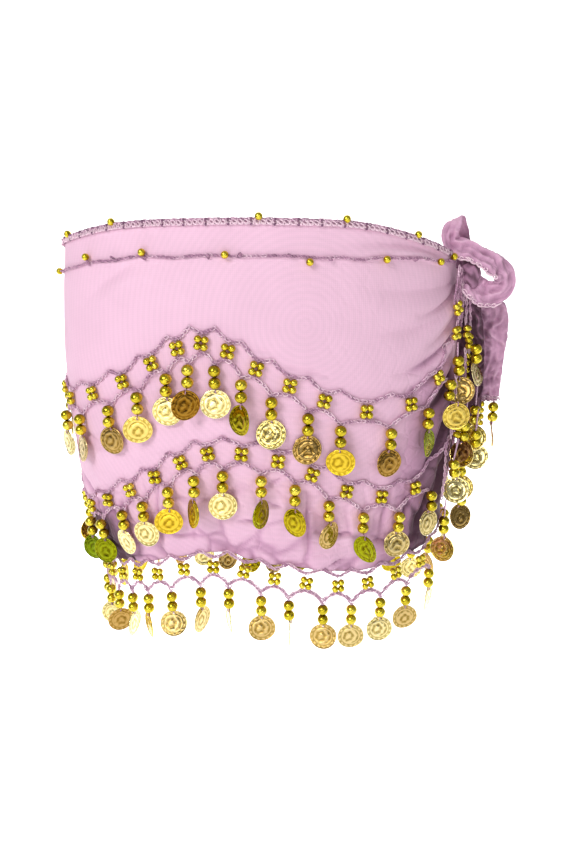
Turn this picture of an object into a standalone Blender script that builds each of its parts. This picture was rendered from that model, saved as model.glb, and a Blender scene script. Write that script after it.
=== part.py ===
"""Belly dance hip scarf, worn: one chiffon strip wound round the hips and knotted.

The strip stands round a hollow general figure.  A place on it is given by two numbers:
its lap, the distance along the strip at hip level from the middle of the front, positive
towards the wearer's left, and its height.  The origin is the middle of the waist opening,
level with the front of the top edge; the front faces -Y and +Z is up.
Lengths in the tables and constants are in millimetres, and MM turns them to metres.
"""
import math

import bmesh
import bpy
import numpy as np
from mathutils import Matrix, Vector

MM = 0.001

# ---- the cloth ----
WALL = 1.6                 # thickness of the chiffon's wall
SEAM_GAP = 0.3             # between the front stretch and the back stretch
LIE_GAP = 0.5              # between the cloth and what lies on it

# ---- the hollow figure that the strip stands round ----
# height, reach to the left (-X), right (+X), front (-Y) and back (+Y)
FIGURE = (
    (20, 161, 159, 111, 109),
    (0, 162, 160, 112, 111),
    (-60, 168, 163, 115, 114),
    (-120, 171, 164, 115, 116),
    (-180, 168, 163, 111, 117),
    (-225, 164, 161, 106, 114),
    (-255, 157, 159, 101, 109),
    (-285, 148, 156, 96, 103),
    (-320, 144, 154, 93, 99),
)
HIP_HEIGHT = -120          # the level where laps are measured
SEAM_ANGLE = -90.0         # degrees from the front, where the two stretches meet

# ---- the strip's edges and its three wavy rows, a line for each crest, trough and end ----
# lap, then the heights of the top edge, the upper row, the middle row and the hem
WAVES = (
    (-706, -30, -62, -104, -136),
    (-660, -32, -104, -182, -250),
    (-625, -33, -116, -198, -280),
    (-577, -34, -108, -188, -284),
    (-445, -33, -160, -232, -304),
    (-312, -27, -102, -186, -279),
    (-180, -13, -131, -226, -286),
    (-112, -3, -109, -196, -272),
    (-40, 0, -75, -158, -254),
    (10, 0, -101, -163, -264),
    (80, -4, -128, -197, -276),
    (125, -14, -122, -199, -271),
    (158, -23, -96, -182, -265),
    (184, -29, -60, -158, -244),
)
TOP, UPPER, MIDDLE, HEM = 1, 2, 3, 4
FRONT_END = 182.0          # lap where the front stretch goes into the knot
BACK_END = -704.0          # lap where the back stretch goes into it
FRONT_COLUMNS = 40
FRONT_ROWS = 14
BACK_COLUMNS = 36
BACK_ROWS = 11

# ---- the largest folds, soft troughs that fan out from the knot over the front ----
# lap and height of the far end, half width there, depth
KNOT_FOLDS = (
    (70, -32, 7, 1.6),
    (84, -74, 9, 2.2),
    (104, -128, 9, 2.6),
    (128, -176, 8, 2.6),
    (152, -226, 8, 2.2),
)
FOLD_START = (186.0, -46.0)   # lap and height where the folds run together

# ---- crocheted trims ----
BRAID_BELOW = 4.0          # the waist braid's reach below the edge
BRAID_ABOVE = 1.0
BRAID_THICK = 3.0
TRIM_END = 164.0           # lap where both trims run in under the knot
LINE_DROP = 24.0           # the bead line under the waist edge
LINE_CLOSE = 110.0         # length over which it runs up to the edge before the knot
LINE_LEAST = 5.9           # it stays this far under the edge, clear of the braid
LINE_HEIGHT = 3.0
LINE_THICK = 3.2

# ---- coin fringes ----
DROP = 66.0                # chain, flower, two beads and coin, top to bottom
HEM_DROP = 69.0            # the same under the hem, where the chain hangs in swags
CHAIN_RISE = 2.5           # the chain's loops stand this much above their row
FRINGE_THICK = 9.0         # a bead's diameter
HEM_INSIDE = 3.5           # how far the hem row reaches inwards of the cloth's face
FRINGE_START = -672.0      # laps where the rows start to bunch under the knot
FRINGE_END = 156.0
FRINGE_ROWS = 3

# ---- the bunch of drops under the knot ----
BUNCH_LAPS = (159.0, 168.0, 177.0, 187.0)
BUNCH_TOP = -78.0
BUNCH_FEET = (-297.0, -262.0)       # where its first and its last drops end
BUNCH_NEAR = 1.6           # its inner and outer face, out from the cloth
BUNCH_FAR = 15.0

# ---- knot, bow and tail ----
KNOT_LAP = 177.0
KNOT_HEIGHT = -40.0
KNOT_HALF = (12.0, 9.0, 16.0)       # half its size along the strip, outwards and up
RIBBON_SECTIONS = 18
# x, y, z of the ribbon's middle, from the knot's middle, and its gathered width there
UPPER_LOOP = (
    (-4, -4, 18, 14),
    (-10, -9, 29, 21),
    (-9, -7, 40, 22),
    (-6, 0, 42, 21),
    (-2, 5, 33, 20),
    (0, 4, 19, 14),
)
UPPER_LOOP_ACROSS = (0.94, -0.34, 0.0)
SIDE_LOOP = (
    (12, 0, 6, 14),
    (20, -1, 11, 20),
    (28, -2, 9, 22),
    (34, -1, 0, 22),
    (34, 1, -11, 22),
    (28, 2, -19, 22),
    (20, 2, -19, 21),
    (12, 1, -10, 14),
)
SIDE_LOOP_ACROSS = (0.0, -0.76, -0.65)
TAIL = (
    (9, 12, -5, 9),
    (18, 19, -14, 16),
    (22, 25, -28, 26),
    (25, 28, -54, 28),
    (28, 29, -82, 22),
    (30, 29, -107, 17),
)
TAIL_ACROSS = (0.97, -0.24, 0.0)
TAIL_PLEAT = 2.6           # depth of the gathers down its length
TAIL_DROPS = (
    (30, 29, -108, 17),
    (30, 29, -130, 17),
    (30, 29, -150, 17),
)
TAIL_DROPS_THICK = 8.0

# ---- finishes: colour, roughness, metallic ----
FINISHES = {
    "chiffon": ((0.84, 0.55, 0.72), 0.75, 0.0),
    "crochet_yarn": ((0.62, 0.40, 0.55), 0.85, 0.0),
    "gold_coin": ((0.72, 0.52, 0.13), 0.3, 1.0),
}


def clear_scene():
    for thing in list(bpy.data.objects):
        bpy.data.objects.remove(thing, do_unlink=True)


def finish(name):
    """The material for one kind of surface, made once."""
    known = bpy.data.materials.get(name)
    if known:
        return known
    colour, roughness, metallic = FINISHES[name]
    material = bpy.data.materials.new(name)
    material.use_nodes = True
    shader = material.node_tree.nodes["Principled BSDF"]
    shader.inputs["Base Color"].default_value = (*colour, 1.0)
    shader.inputs["Roughness"].default_value = roughness
    shader.inputs["Metallic"].default_value = metallic
    return material


def smooth_table(table, column):
    """A smooth curve through one column of a table, against its first column."""
    rows = sorted(table)
    places = np.array([row[0] for row in rows], float)
    values = np.array([row[column] for row in rows], float)
    slopes = np.gradient(values, places)

    def read(place):
        at = min(max(place, places[0]), places[-1])
        k = int(min(max(np.searchsorted(places, at) - 1, 0), len(places) - 2))
        span = places[k + 1] - places[k]
        u = (at - places[k]) / span
        rise = values[k + 1] - values[k]
        start = slopes[k] * span
        end = slopes[k + 1] * span
        curve = (3 * rise - 2 * start - end) * u**2 + (start + end - 2 * rise) * u**3
        return values[k] + start * u + curve

    return read


REACH = [smooth_table(FIGURE, column) for column in (1, 2, 3, 4)]
WAVE = {column: smooth_table(WAVES, column) for column in (TOP, UPPER, MIDDLE, HEM)}


def half_sizes(angle, height):
    """The figure's reach sideways and fore-and-aft, for one quarter of its section."""
    left, right, front, back = (read(height) for read in REACH)
    sideways = right if math.sin(angle) > 0 else left
    return sideways, front if math.cos(angle) > 0 else back


def lap_table():
    """Angle against distance along the hip section, both from the middle of the front."""
    angles = np.radians(np.arange(-300.0, 120.01, 0.5))
    points = []
    for angle in angles:
        sideways, depth = half_sizes(angle, HIP_HEIGHT)
        points.append((sideways * math.sin(angle), -depth * math.cos(angle)))
    steps = np.hypot(*np.diff(np.array(points), axis=0).T)
    laps = np.concatenate([[0.0], np.cumsum(steps)])
    return angles, laps - np.interp(0.0, angles, laps)


ANGLES, LAPS = lap_table()
SEAM_LAP = float(np.interp(math.radians(SEAM_ANGLE), ANGLES, LAPS))


def fold_depth(lap, height):
    """How far the folds that fan out from the knot draw the cloth in at one place."""
    depth = 0.0
    start = np.array(FOLD_START)
    for far_lap, far_height, half_width, deepest in KNOT_FOLDS:
        run = np.array((far_lap, far_height)) - start
        length = np.linalg.norm(run)
        away = np.array((lap, height)) - start
        along = float(away @ run) / length**2
        if not 0.0 < along < 1.0:
            continue
        across = (away[0] * run[1] - away[1] * run[0]) / length
        width = half_width * (0.45 + 0.55 * along)
        swell = math.sin(math.pi * along**0.6)
        depth += deepest * swell * math.exp(-((across / width) ** 2))
    return depth


def outward(angle, sideways, depth):
    """The level direction straight out of the cloth at one angle."""
    return Vector((math.sin(angle) / sideways, -math.cos(angle) / depth, 0)).normalized()


def on_cloth(lap, height, out=0.0, hang=0.0):
    """A point out from the cloth's inner face; hang lowers it straight down from there."""
    angle = float(np.interp(lap, LAPS, ANGLES))
    sideways, depth = half_sizes(angle, height)
    place = Vector((sideways * math.sin(angle), -depth * math.cos(angle), height - hang))
    return (place + outward(angle, sideways, depth) * out) * MM


def solid_from_sheets(name, near, far, material_name):
    """Closes two matching grids of points, a near and a far face, into one solid."""
    columns, rows = len(near), len(near[0])
    mesh = bmesh.new()
    grids = []
    for sheet in (near, far):
        grids.append([[mesh.verts.new(point) for point in column] for column in sheet])
    inner, outer = grids
    for i in range(columns - 1):
        for j in range(rows - 1):
            for grid in grids:
                corners = (grid[i][j], grid[i + 1][j], grid[i + 1][j + 1], grid[i][j + 1])
                mesh.faces.new(corners)
    for i in range(columns - 1):
        for j in (0, rows - 1):
            mesh.faces.new((inner[i][j], inner[i + 1][j], outer[i + 1][j], outer[i][j]))
    for j in range(rows - 1):
        for i in (0, columns - 1):
            mesh.faces.new((inner[i][j], inner[i][j + 1], outer[i][j + 1], outer[i][j]))
    bmesh.ops.recalc_face_normals(mesh, faces=mesh.faces)
    return finished_object(name, mesh, material_name)


def finished_object(name, mesh, material_name):
    data = bpy.data.meshes.new(name)
    mesh.to_mesh(data)
    mesh.free()
    data.shade_smooth()
    data.set_sharp_from_angle(angle=math.radians(40))
    data.materials.append(finish(material_name))
    piece = bpy.data.objects.new(name, data)
    bpy.context.collection.objects.link(piece)
    return piece


def band(name, laps, top, foot, near, far, rows, material_name, drawn_in=None):
    """A wall that follows the figure between two heights, each a function of the lap.

    drawn_in gives how deep the folds are at a place; what lies on the cloth bridges them.
    """
    sheets = ([], [])
    for lap in laps:
        heights = np.linspace(top(lap), foot(lap), rows + 1)
        sunk = [drawn_in(lap, height) if drawn_in else 0.0 for height in heights]
        for sheet, out in zip(sheets, (near, far)):
            sheet.append([on_cloth(lap, height, out - fold)
                          for height, fold in zip(heights, sunk)])
    return solid_from_sheets(name, *sheets, material_name)


def hem_fringe(name, laps, material_name="gold_coin"):
    """The hem row: it hangs straight down from the lower edge, not along the figure."""
    sheets = []
    for out in (-HEM_INSIDE, FRINGE_THICK - HEM_INSIDE):
        sheet = []
        for lap in laps:
            hem = WAVE[HEM](lap)
            sheet.append([on_cloth(lap, hem, out, hang) for hang in (LIE_GAP, HEM_DROP)])
        sheets.append(sheet)
    return solid_from_sheets(name, *sheets, material_name)


def line_height(lap):
    """The bead line's middle: parallel to the edge, then up to it before the knot."""
    left = min(FRONT_END - lap, lap - BACK_END)
    share = min(1.0, 0.1 + 0.9 * left / LINE_CLOSE)
    return WAVE[TOP](lap) - max(LINE_LEAST, LINE_DROP * share)


def stretch(side, laps, rows):
    """One stretch of the strip with the trims and coin rows that lie on it."""
    skin = WALL + LIE_GAP
    band(f"wrap_{side}", laps, WAVE[TOP], WAVE[HEM], 0.0, WALL, rows, "chiffon", fold_depth)
    trimmed = [lap for lap in laps if lap < TRIM_END]
    band(f"waist_braid_{side}", trimmed,
         lambda lap: WAVE[TOP](lap) + BRAID_ABOVE,
         lambda lap: WAVE[TOP](lap) - BRAID_BELOW,
         skin, skin + BRAID_THICK, 1, "crochet_yarn")
    band(f"bead_line_{side}", trimmed,
         lambda lap: line_height(lap) + LINE_HEIGHT / 2,
         lambda lap: line_height(lap) - LINE_HEIGHT / 2,
         skin, skin + LINE_THICK, 1, "crochet_yarn")
    hung = [lap for lap in laps if FRINGE_START < lap < FRINGE_END]
    for label, row, below, stop in (("upper", UPPER, MIDDLE, CHAIN_RISE + LIE_GAP),
                                    ("middle", MIDDLE, HEM, LIE_GAP)):
        band(f"fringe_{label}_{side}", hung,
             lambda lap: WAVE[row](lap) + CHAIN_RISE,
             lambda lap: max(WAVE[row](lap) - DROP, WAVE[below](lap) + stop),
             skin, skin + FRINGE_THICK, FRINGE_ROWS, "gold_coin")
    hem_fringe(f"fringe_hem_{side}", hung)


def knot_frame():
    """The knot's middle, and the directions along the strip, outwards and up there."""
    angle = float(np.interp(KNOT_LAP, LAPS, ANGLES))
    out = outward(angle, *half_sizes(angle, KNOT_HEIGHT))
    stand_off = WALL + LIE_GAP + KNOT_HALF[1]
    middle = on_cloth(KNOT_LAP, KNOT_HEIGHT, stand_off)
    along = out.cross(Vector((0, 0, 1)))
    return middle, along, out


def knot():
    middle, along, out = knot_frame()
    mesh = bmesh.new()
    bmesh.ops.create_uvsphere(mesh, u_segments=16, v_segments=10, radius=1.0)
    axes = Matrix((along, out, Vector((0, 0, 1)))).transposed()
    sizes = Matrix.Diagonal(Vector(KNOT_HALF) * MM)
    bmesh.ops.transform(mesh, verts=mesh.verts, matrix=(axes @ sizes).to_4x4())
    bmesh.ops.translate(mesh, verts=mesh.verts, vec=middle)
    return finished_object("knot", mesh, "chiffon")


def smooth_path(stops, sections):
    """Even steps along a smooth curve through hand-placed stops."""
    numbered = [(k, *stop) for k, stop in enumerate(stops)]
    curves = [smooth_table(numbered, column) for column in range(1, len(stops[0]) + 1)]
    steps = np.linspace(0, len(stops) - 1, sections)
    return [tuple(curve(step) for curve in curves) for step in steps]


def ribbon(name, stops, across, thick=WALL, pleat=0.0, folds=4, sections=RIBBON_SECTIONS,
           material_name="chiffon"):
    """A strip of cloth swept along its stops, gathered into zigzag folds across it."""
    start = knot_frame()[0]
    path = smooth_path(stops, sections)
    middles = [start + Vector(stop[:3]) * MM for stop in path]
    across = Vector(across).normalized()
    sheets = ([], [])
    for k, middle in enumerate(middles):
        ahead = middles[min(k + 1, sections - 1)] - middles[max(k - 1, 0)]
        side = ahead.cross(across).normalized()
        width = path[k][3] * MM
        for sheet, face in zip(sheets, (-0.5, 0.5)):
            column = []
            for fold in range(folds + 1):
                rise = (face * thick + pleat * (-1) ** fold) * MM
                column.append(middle + across * width * (fold / folds - 0.5) + side * rise)
            sheet.append(column)
    return solid_from_sheets(name, *sheets, material_name)


def build():
    clear_scene()
    half_gap = SEAM_GAP / 2
    stretch("front", np.linspace(SEAM_LAP + half_gap, FRONT_END, FRONT_COLUMNS + 1), FRONT_ROWS)
    stretch("back", np.linspace(BACK_END, SEAM_LAP - half_gap, BACK_COLUMNS + 1), BACK_ROWS)
    ends = (BUNCH_LAPS[0], BUNCH_LAPS[-1])
    band("fringe_knot_side", BUNCH_LAPS,
         lambda lap: BUNCH_TOP,
         lambda lap: float(np.interp(lap, ends, BUNCH_FEET)),
         WALL + BUNCH_NEAR, WALL + BUNCH_FAR, 6, "gold_coin")
    knot()
    ribbon("bow_loop_upper", UPPER_LOOP, UPPER_LOOP_ACROSS, folds=2)
    ribbon("bow_loop_side", SIDE_LOOP, SIDE_LOOP_ACROSS, folds=2, sections=24)
    ribbon("tail", TAIL, TAIL_ACROSS, pleat=TAIL_PLEAT)
    ribbon("tail_drops", TAIL_DROPS, TAIL_ACROSS, TAIL_DROPS_THICK, folds=1, sections=3,
           material_name="gold_coin")


build()
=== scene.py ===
"""Belly dance hip scarf, worn: its cloth, crochet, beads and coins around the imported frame.

A chiffon strip is wound once round the hips and knotted at the wearer's left.  A place on it
is a lap, the distance along the strip at hip level from the middle of the front, positive
towards the knot, and a height.  Lengths are in millimetres, and MM turns them to metres.
The front faces -Y, +Z is up and the knot is at +X.
"""
import math
import random

import bpy
import numpy as np
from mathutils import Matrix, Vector, noise


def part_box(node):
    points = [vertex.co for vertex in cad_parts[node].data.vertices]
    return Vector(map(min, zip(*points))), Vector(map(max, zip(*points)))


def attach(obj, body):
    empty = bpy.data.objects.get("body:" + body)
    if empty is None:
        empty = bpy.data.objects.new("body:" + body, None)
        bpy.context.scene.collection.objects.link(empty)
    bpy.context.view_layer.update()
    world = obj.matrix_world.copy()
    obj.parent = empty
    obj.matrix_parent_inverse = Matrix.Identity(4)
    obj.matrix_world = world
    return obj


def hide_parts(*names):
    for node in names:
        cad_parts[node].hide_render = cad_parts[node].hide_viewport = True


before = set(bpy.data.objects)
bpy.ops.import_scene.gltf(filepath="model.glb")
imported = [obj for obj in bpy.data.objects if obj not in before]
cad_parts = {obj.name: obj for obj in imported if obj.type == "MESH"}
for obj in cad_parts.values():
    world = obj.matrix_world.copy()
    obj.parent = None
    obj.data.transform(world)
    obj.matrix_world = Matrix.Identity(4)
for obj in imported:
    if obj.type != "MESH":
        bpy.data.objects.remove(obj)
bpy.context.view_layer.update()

MM = 0.001
SEED = 7
UP = np.array((0.0, 0.0, 1.0))

# ---- the hollow figure: height, reach to the left (-X), right (+X), front (-Y), back (+Y) ----
FIGURE = (
    (20, 161, 159, 111, 109),
    (0, 162, 160, 112, 111),
    (-60, 168, 163, 115, 114),
    (-120, 171, 164, 115, 116),
    (-180, 168, 163, 111, 117),
    (-225, 164, 161, 106, 114),
    (-255, 157, 159, 101, 109),
    (-285, 148, 156, 96, 103),
    (-320, 144, 154, 93, 99),
)
HIP_HEIGHT = -120          # the level where laps are measured

# ---- lap, then the heights of the top edge, the upper row, the middle row and the hem ----
WAVES = (
    (-706, -30, -62, -104, -136),
    (-660, -32, -104, -182, -250),
    (-625, -33, -116, -198, -280),
    (-577, -34, -108, -188, -284),
    (-445, -33, -160, -232, -304),
    (-312, -27, -102, -186, -279),
    (-180, -13, -131, -226, -286),
    (-112, -3, -109, -196, -272),
    (-40, 0, -75, -158, -254),
    (10, 0, -101, -163, -264),
    (80, -4, -128, -197, -276),
    (125, -14, -122, -199, -271),
    (158, -23, -96, -182, -265),
    (184, -29, -60, -158, -244),
)
TOP, UPPER, MIDDLE, HEM = 1, 2, 3, 4
FRONT_END = 182.0
BACK_END = -704.0
BACK_UNDER = 12.0          # the back end runs on this far, under the front end
FRONT_FROM = -206.0        # the front's finer columns of cloth start here

# ---- chiffon ----
WALL = 1.6                 # the frame's wall; the cloth runs down its middle
CLOTH_THICK = 0.6
FRONT_STEP = 1.9           # between columns of cloth
BACK_STEP = 4.2
CLOTH_ROWS = 148
CRUMPLE_CELL = 31.0        # mm across the patches between crushed creases
CRUMPLE_TOP = 0.18
CRUMPLE_HEM = 3.0
CREASE_DEPTH = 2.1         # all the hand-placed creases are deepened by this
END_CURL = 1.8             # how far the strip's two ends turn inwards

# ---- creases: from lap and height to lap and height, upward bow, half width, depth ----
CREASES = (
    (160, -33, 54, -19, 8, 2.4, 1.7),
    (186, -46, 118, -70, -5, 3.6, 2.6),
    (186, -52, 84, -80, -9, 5.5, 1.6),
    (186, -58, 128, -94, -6, 4.0, 2.4),
    (184, -72, 98, -113, -9, 4.6, 2.4),
    (182, -88, 100, -128, -8, 4.0, 1.7),
    (184, -98, 124, -152, -8, 5.0, 2.4),
    (184, -122, 138, -196, -6, 5.0, 2.6),
    (180, -150, 154, -236, -3, 4.6, 2.2),
    (186, -44, 70, -46, -6, 6.0, 1.1),
    (50, -110, 16, -103, 1, 1.6, 0.8),
    (10, -90, -14, -87, -1, 1.5, 0.7),
    (28, -105, 10, -101, 1, 1.3, 0.6),
    (-28, -118, 4, -121, -2, 2.2, 0.6),
    (-96, -30, -150, -62, 3, 5.0, 0.8),
    (-70, -112, -150, -152, 6, 5.0, 0.9),
    (-196, -150, -120, -176, -4, 4.0, 1.0),
    (-196, -206, -150, -238, 3, 3.6, 1.4),
    (-170, -216, -158, -272, 2, 3.2, 1.3),
    (-126, -214, -122, -268, -3, 3.4, 1.5),
    (-84, -190, -92, -258, 3, 3.0, 1.3),
    (-56, -206, -60, -246, 1, 2.2, 1.2),
    (16, -186, 0, -196, 1, 1.6, 1.3),
    (14, -211, -2, -203, -2, 1.6, 1.2),
    (-4, -226, -24, -225, 2, 1.5, 1.3),
    (56, -241, 74, -239, 1, 1.6, 1.4),
    (52, -270, 72, -263, 2, 1.9, 1.5),
    (80, -222, 86, -238, 1, 1.7, 1.3),
    (34, -196, 40, -262, -3, 3.0, 1.2),
    (104, -200, 98, -262, 3, 3.4, 1.3),
    (126, -212, 116, -264, 3, 3.0, 1.6),
    (146, -214, 138, -262, 2, 2.8, 1.6),
    (-706, -46, -604, -60, 6, 4.4, 2.4),
    (-706, -54, -590, -92, 8, 5.0, 2.2),
    (-704, -68, -612, -132, 8, 4.8, 2.6),
    (-702, -88, -640, -168, 6, 4.4, 2.4),
    (-700, -104, -664, -214, 3, 4.2, 2.0),
    (-560, -66, -350, -58, -9, 6.0, 1.5),
    (-520, -108, -392, -116, -8, 5.6, 1.4),
    (-470, -58, -400, -62, -4, 3.2, 1.0),
    (-330, -96, -232, -60, 5, 5.0, 1.1),
    (-292, -150, -216, -120, 6, 4.4, 1.0),
    (-560, -170, -566, -262, 3, 4.0, 1.4),
    (-500, -196, -508, -280, -3, 3.6, 1.3),
    (-452, -206, -440, -288, 3, 3.6, 1.4),
    (-398, -190, -404, -274, -2, 3.4, 1.3),
    (-344, -172, -336, -258, 3, 3.8, 1.4),
    (-276, -190, -282, -262, -3, 3.2, 1.2),
    (-236, -198, -226, -268, 3, 3.4, 1.4),
    (-620, -186, -612, -262, 2, 3.4, 1.3),
)

# ---- crochet ----
STITCH = 3.4               # from one chain stitch to the next
STITCH_LONG = 5.4
STITCH_WIDE = 2.7
STITCH_TIP = 14            # degrees that a stitch may tip by chance
STITCH_JOG = 0.25
STITCH_TINTS = 0.28
YARN = 0.5                 # the yarn's radius
CORE = 0.55                # radius and tint of the cord that the stitches go round
# The core is coloured darker than the stitches: painted shade in the chain's holes.
CORE_SHADE_TINT = 0.28
CHAIN_LIFT = 1.5           # a chain's middle above the middle of the cloth
PEAK_RISE = 3.0            # the upper chain is sewn on above each drop
CHAIN_SAG = 5.0            # and sags to each flower
ARCH_DROP = 16.8           # the lower chain's arch passes under a flower
VALLEY_DROP = {UPPER: 23.4, MIDDLE: 23.4, HEM: 25.6}   # and dips to each drop
FLOWER_DROP = 9.2
HEM_EXTRA = 1.5            # the hem row hangs this much lower
FLOWER_HALF = (2.58, 2.66) # from a flower's middle to its beads, across and up

# ---- beads and coins ----
BEAD = 4.65                # radii
SMALL_BEAD = 2.85
COIN = 11.1
COIN_THICK = 0.7
COIN_HOLE = 8.9            # from the coin's middle to its hole
THREAD = 0.55
FIRST_BEAD = {UPPER: 3.9, MIDDLE: 3.9, HEM: 6.5}       # below the valley
BEAD_STEP = 8.8
COIN_BELOW = 24.3          # the coin's middle below the first bead
EYE = (1.9, 1.2)           # the thread's loop through the hole: half its height and width
EYE_THREAD = 0.38
COIN_CLEAR = 2.4           # from the cloth to a coin's nearest edge
CROWDED = 24.0             # drops closer than this stand off by turns
STAND_OFF = 1.4

# ---- the front drops of each row: lap, the way the coin faces in degrees from the front
# towards the knot, and its tint from green (0) through gold and pale to bronze (1) ----
UPPER_DROPS = (
    (-196, -50, 0.72), (-160, -58, 0.86), (-122, -26, 0.93), (-94, 6, 0.58),
    (-70, -6, 0.68), (-53, 30, 1.0), (-34, 3, 0.74), (-15, -48, 0.22), (6, 4, 0.66),
    (32, 12, 0.94), (56, -4, 0.46), (97, 28, 0.97), (133, 60, 0.05), (156, 6, 0.55),
)
MIDDLE_DROPS = (
    (-190, -30, 0.02), (-157, -20, 0.08), (-124, -40, 0.72), (-100, -18, 0.7),
    (-75, 4, 0.5), (-53, -62, 0.3), (-31, 5, 0.68), (-2, 60, 0.12), (23, -42, 0.28),
    (49, 46, 0.9), (78, -44, 0.1), (110, 14, 0.84), (145, 40, 0.8),
)
HEM_DROPS = (
    (-186, -20, 0.7), (-163, 24, 0.95), (-138, 74, 0.72), (-115, -64, 0.5),
    (-87, 3, 0.86), (-57, 62, 0.84), (-32, -74, 0.74), (-4, 4, 0.9), (19, 87, 0.7),
    (48, -5, 0.9), (74, 4, 0.84), (102, 6, 0.76), (130, 12, 0.88), (161, 64, 0.7),
)
ROW_PITCH = {UPPER: 28.3, MIDDLE: 28.9, HEM: 26.8}
ROW_BUNCHING = {UPPER: 6.0, MIDDLE: 2.0, HEM: 0.0}   # closer at crests, wider at troughs
CREST_LAP = -40.0
CREST_PITCH = 268.0
LAST_DROP = -676.0         # where the rows' drops stop, behind the knot

# ---- beads on the waist edge and on the bead line, at the front; farther on by a step ----
EDGE_BEADS = (-178, -118, -2, 60, 119)
LINE_BEADS = ((-144, -26.5), (-89, -22), (-26, -23), (33, -28), (90, -27), (140, -30),
              (161, -27))
BEAD_SPACING = 60.0
TRIM_END = 164.0           # the braid and the bead line stop just past here, at the knot
TRIM_LAPS = np.arange(BACK_END + 6, TRIM_END + 6, 2.0)
LINE_DROP = 24.0           # from the waist edge down to the bead line
LINE_CLOSE = 110.0         # this far from either end the line starts up to the edge
LINE_LEAST = 5.9           # and it stays this far below the edge, clear of the braid

# ---- the bunch under the knot ----
# thread's lap and height, first bead's, coin's, then out from the cloth, facing, roll, tint
BUNCH_DROPS = (
    (160, -92, 162, -107, 172, -133, 9, 8, 8, 0.92),
    (180, -98, 181, -100, 188, -121, 16, 54, -6, 0.72),
    (178, -140, 176, -164, 177, -188, 13, -42, 22, 0.6),
    (186, -130, 186, -152, 189, -177, 18, -18, -16, 0.66),
    (184, -150, 183, -172, 191, -194, 21, -12, -12, 0.7),
    (166, -172, 162, -193, 172, -219, 13, -14, -4, 0.72),
    (186, -176, 183, -199, 192, -224, 12, -4, 6, 0.62),
    (178, -214, 181, -224, 187, -249, 16, 26, 4, 0.92),
    (164, -226, 167, -247, 175, -277, 9, -38, -3, 0.6),
)
BUNCH_PITCH = 15.0         # resting on the hip, the coins tip back
BUNCH_HIP = 62             # degrees from the front that the hip under the bunch faces
BUNCH_FLOWERS = (          # lap, height, out, tilt
    (164, -66, 6, 25), (161, -85, 7, 5), (178, -86, 9, -8), (181, -94, 10, 20),
    (186, -140, 9, 12), (172, -168, 9, -20), (178, -204, 10, 15),
)
# cords: lap and height at the top and at the foot, and how far out those of the bunch lie
KNOT_CORDS = ((163, -34, 159, -62), (167, -36, 162, -70), (171, -38, 167, -78),
              (174, -50, 172, -84))
BUNCH_CORDS = (
    (172, -52, 164, -62, 5), (174, -52, 160, -92, 5), (177, -54, 178, -82, 7),
    (180, -54, 186, -104, 9), (178, -100, 184, -150, 8), (166, -118, 166, -172, 6),
    (182, -120, 178, -214, 7), (160, -176, 164, -226, 5),
)
BUNCH_STRING = ((190, -96, -134, 8), (183, -128, -176, 7))   # lap, heights, out: small beads

# ---- bow and tail, from the knot's middle: x, y, z, width, then the way across ----
# The end comes up behind, folds over the top and runs down in front, then to the right,
# round, and back under itself to the knot.
BOW = (
    (-6, 6, 3, 8, 0.95, -0.1, 0.1),
    (-5, 7, 17, 12, 0.95, -0.1, 0.1),
    (-8.5, 6, 28, 14, 0.86, -0.1, 0.45),
    (-14, 1, 38, 16, 0.88, -0.1, 0.45),
    (-18.5, -4, 31, 13, 0.8, -0.1, 0.55),
    (-17, -5, 24, 14.5, 0.98, 0.0, 0.15),
    (-11, -7, 20, 15, 0.6, 0.1, 0.8),
    (0, -9, 16, 13.5, 0.25, 0.35, 0.9),
    (12, -10, 10, 15, 0.35, 0.35, 0.87),
    (22, -9, 3, 17.5, 0.75, 0.3, 0.6),
    (25.5, -7, -6, 17, 0.97, 0.2, -0.05),
    (22, -5, -13, 18, 0.6, -0.3, -0.75),
    (12, -4, -15, 21, 0.05, -0.45, -0.9),
    (2, -3, -8.5, 20, -0.3, -0.4, -0.85),
    (-6, 0, -2, 10, -0.4, -0.3, -0.8),
)
FOLD_BEHIND = (
    (0, 4, -4, 8, 0.9, -0.3, 0.0),
    (1, 8, -18, 15, 0.95, -0.26, 0.0),
    (5, 12, -40, 20, 0.97, -0.24, 0.0),
    (9, 16, -70, 21, 0.97, -0.24, 0.0),
    (12, 18, -100, 17, 0.97, -0.24, 0.0),
    (13, 18, -132, 12, 0.97, -0.24, 0.0),
)
TAIL = (
    (2, 6, -2, 8, 0.9, -0.3, 0.0),
    (8, 11, -10, 18, 0.95, -0.26, 0.0),
    (15, 19, -22, 30, 0.97, -0.24, 0.0),
    (21, 25, -36, 35, 0.97, -0.24, 0.0),
    (24, 27, -52, 33, 0.97, -0.24, 0.0),
    (28, 28, -78, 22, 0.97, -0.24, 0.0),
    (30.5, 29, -106, 15, 0.97, -0.24, 0.0),
)
RIBBON_STEP = 0.8
RIBBON_ACROSS = 32
RIBBON_THICK = 0.5
ROLL_DOME = 3.4            # how far a ribbon bulges where it rolls over
SWAY_RUN = 16              # mm along a ribbon over which its folds wander,
FADE_RUN = 11              # grow and fade,
RAGGED_RUN = 6             # and its edges waver
CRUSH_RUN = (8, 12)        # the crushed creases' size along and across
FINE_CRUSH_RUN = (2.6, 6)

rng = random.Random(SEED)
noise.seed_set(SEED)       # the clock would seed the vector noise of the crushed creases


# =========================== the figure and the strip on it ===========================

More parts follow.
